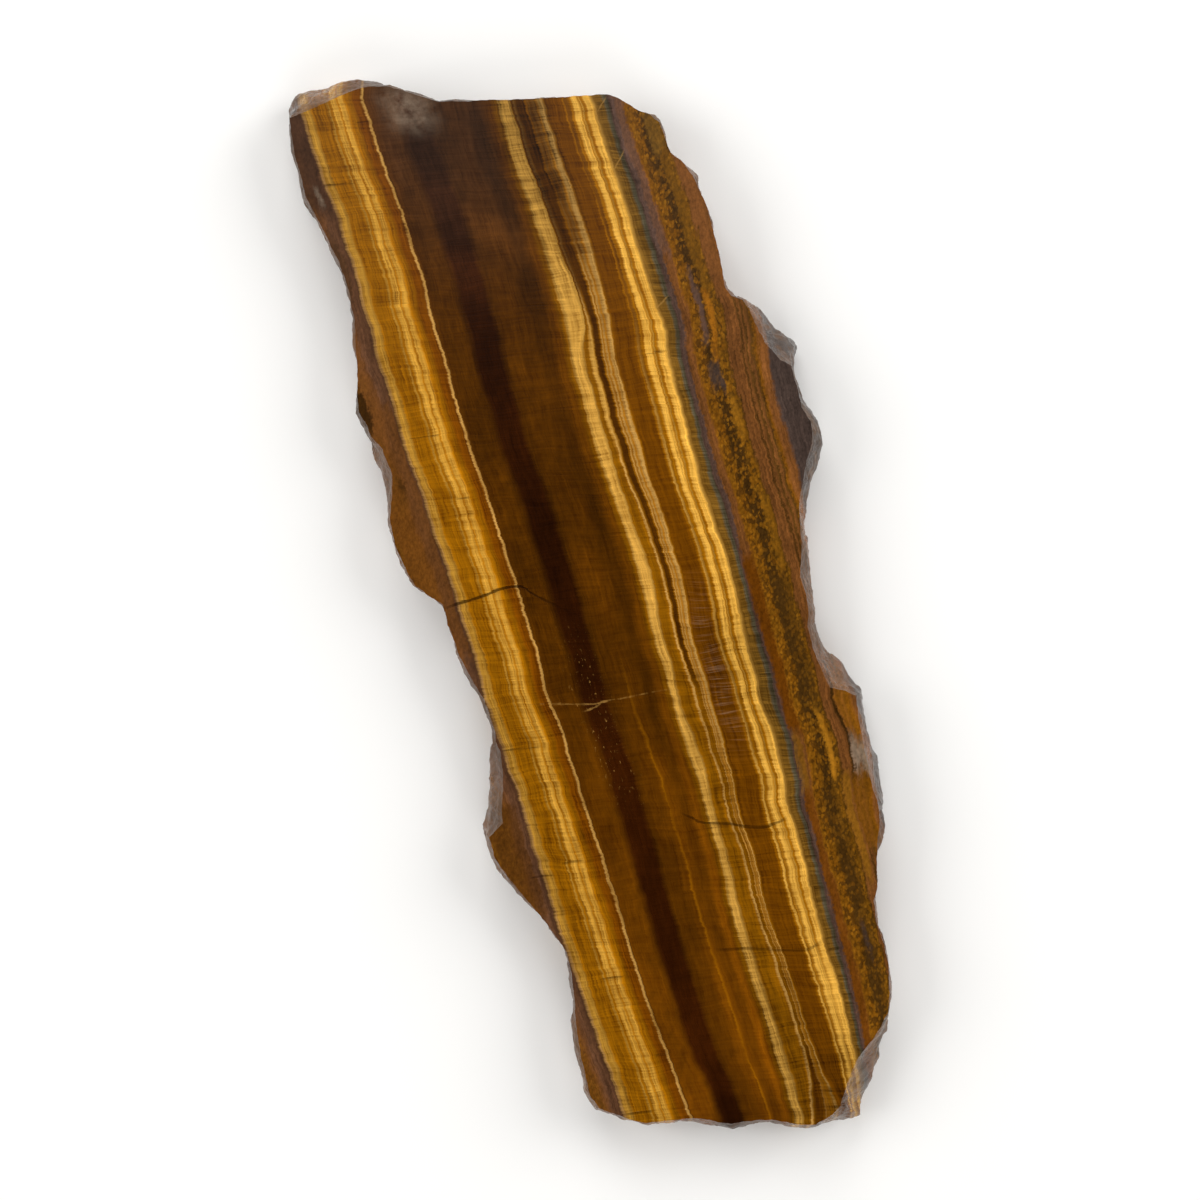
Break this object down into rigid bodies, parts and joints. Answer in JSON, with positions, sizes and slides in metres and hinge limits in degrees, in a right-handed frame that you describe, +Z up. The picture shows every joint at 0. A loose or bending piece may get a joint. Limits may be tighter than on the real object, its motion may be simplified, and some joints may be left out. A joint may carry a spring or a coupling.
{
  "type": "tiger's eye slab",
  "caption": "Rough slab of tiger's eye with flat sawn faces, one polished, straight colour bands along its length and broken, flaked edges all round.",
  "frame": {"origin": "on the sawn back, under the middle of the outline's box", "axes": "+Z up from the back to the polished face, +Y along the colour bands towards the wider cut end, +X across them towards the rusty rock side"},
  "size_m": [0.113, 0.2896, 0.016],
  "materials": {
    "tigers_eye": "gold, amber and dark brown fibre bands, glossy on the polished face, glassy and splintered on the broken flanks, matt on the sawn back"
  },
  "bodies": {
    "root": {"slab": "tigers_eye"}
  },
  "joints": []
}
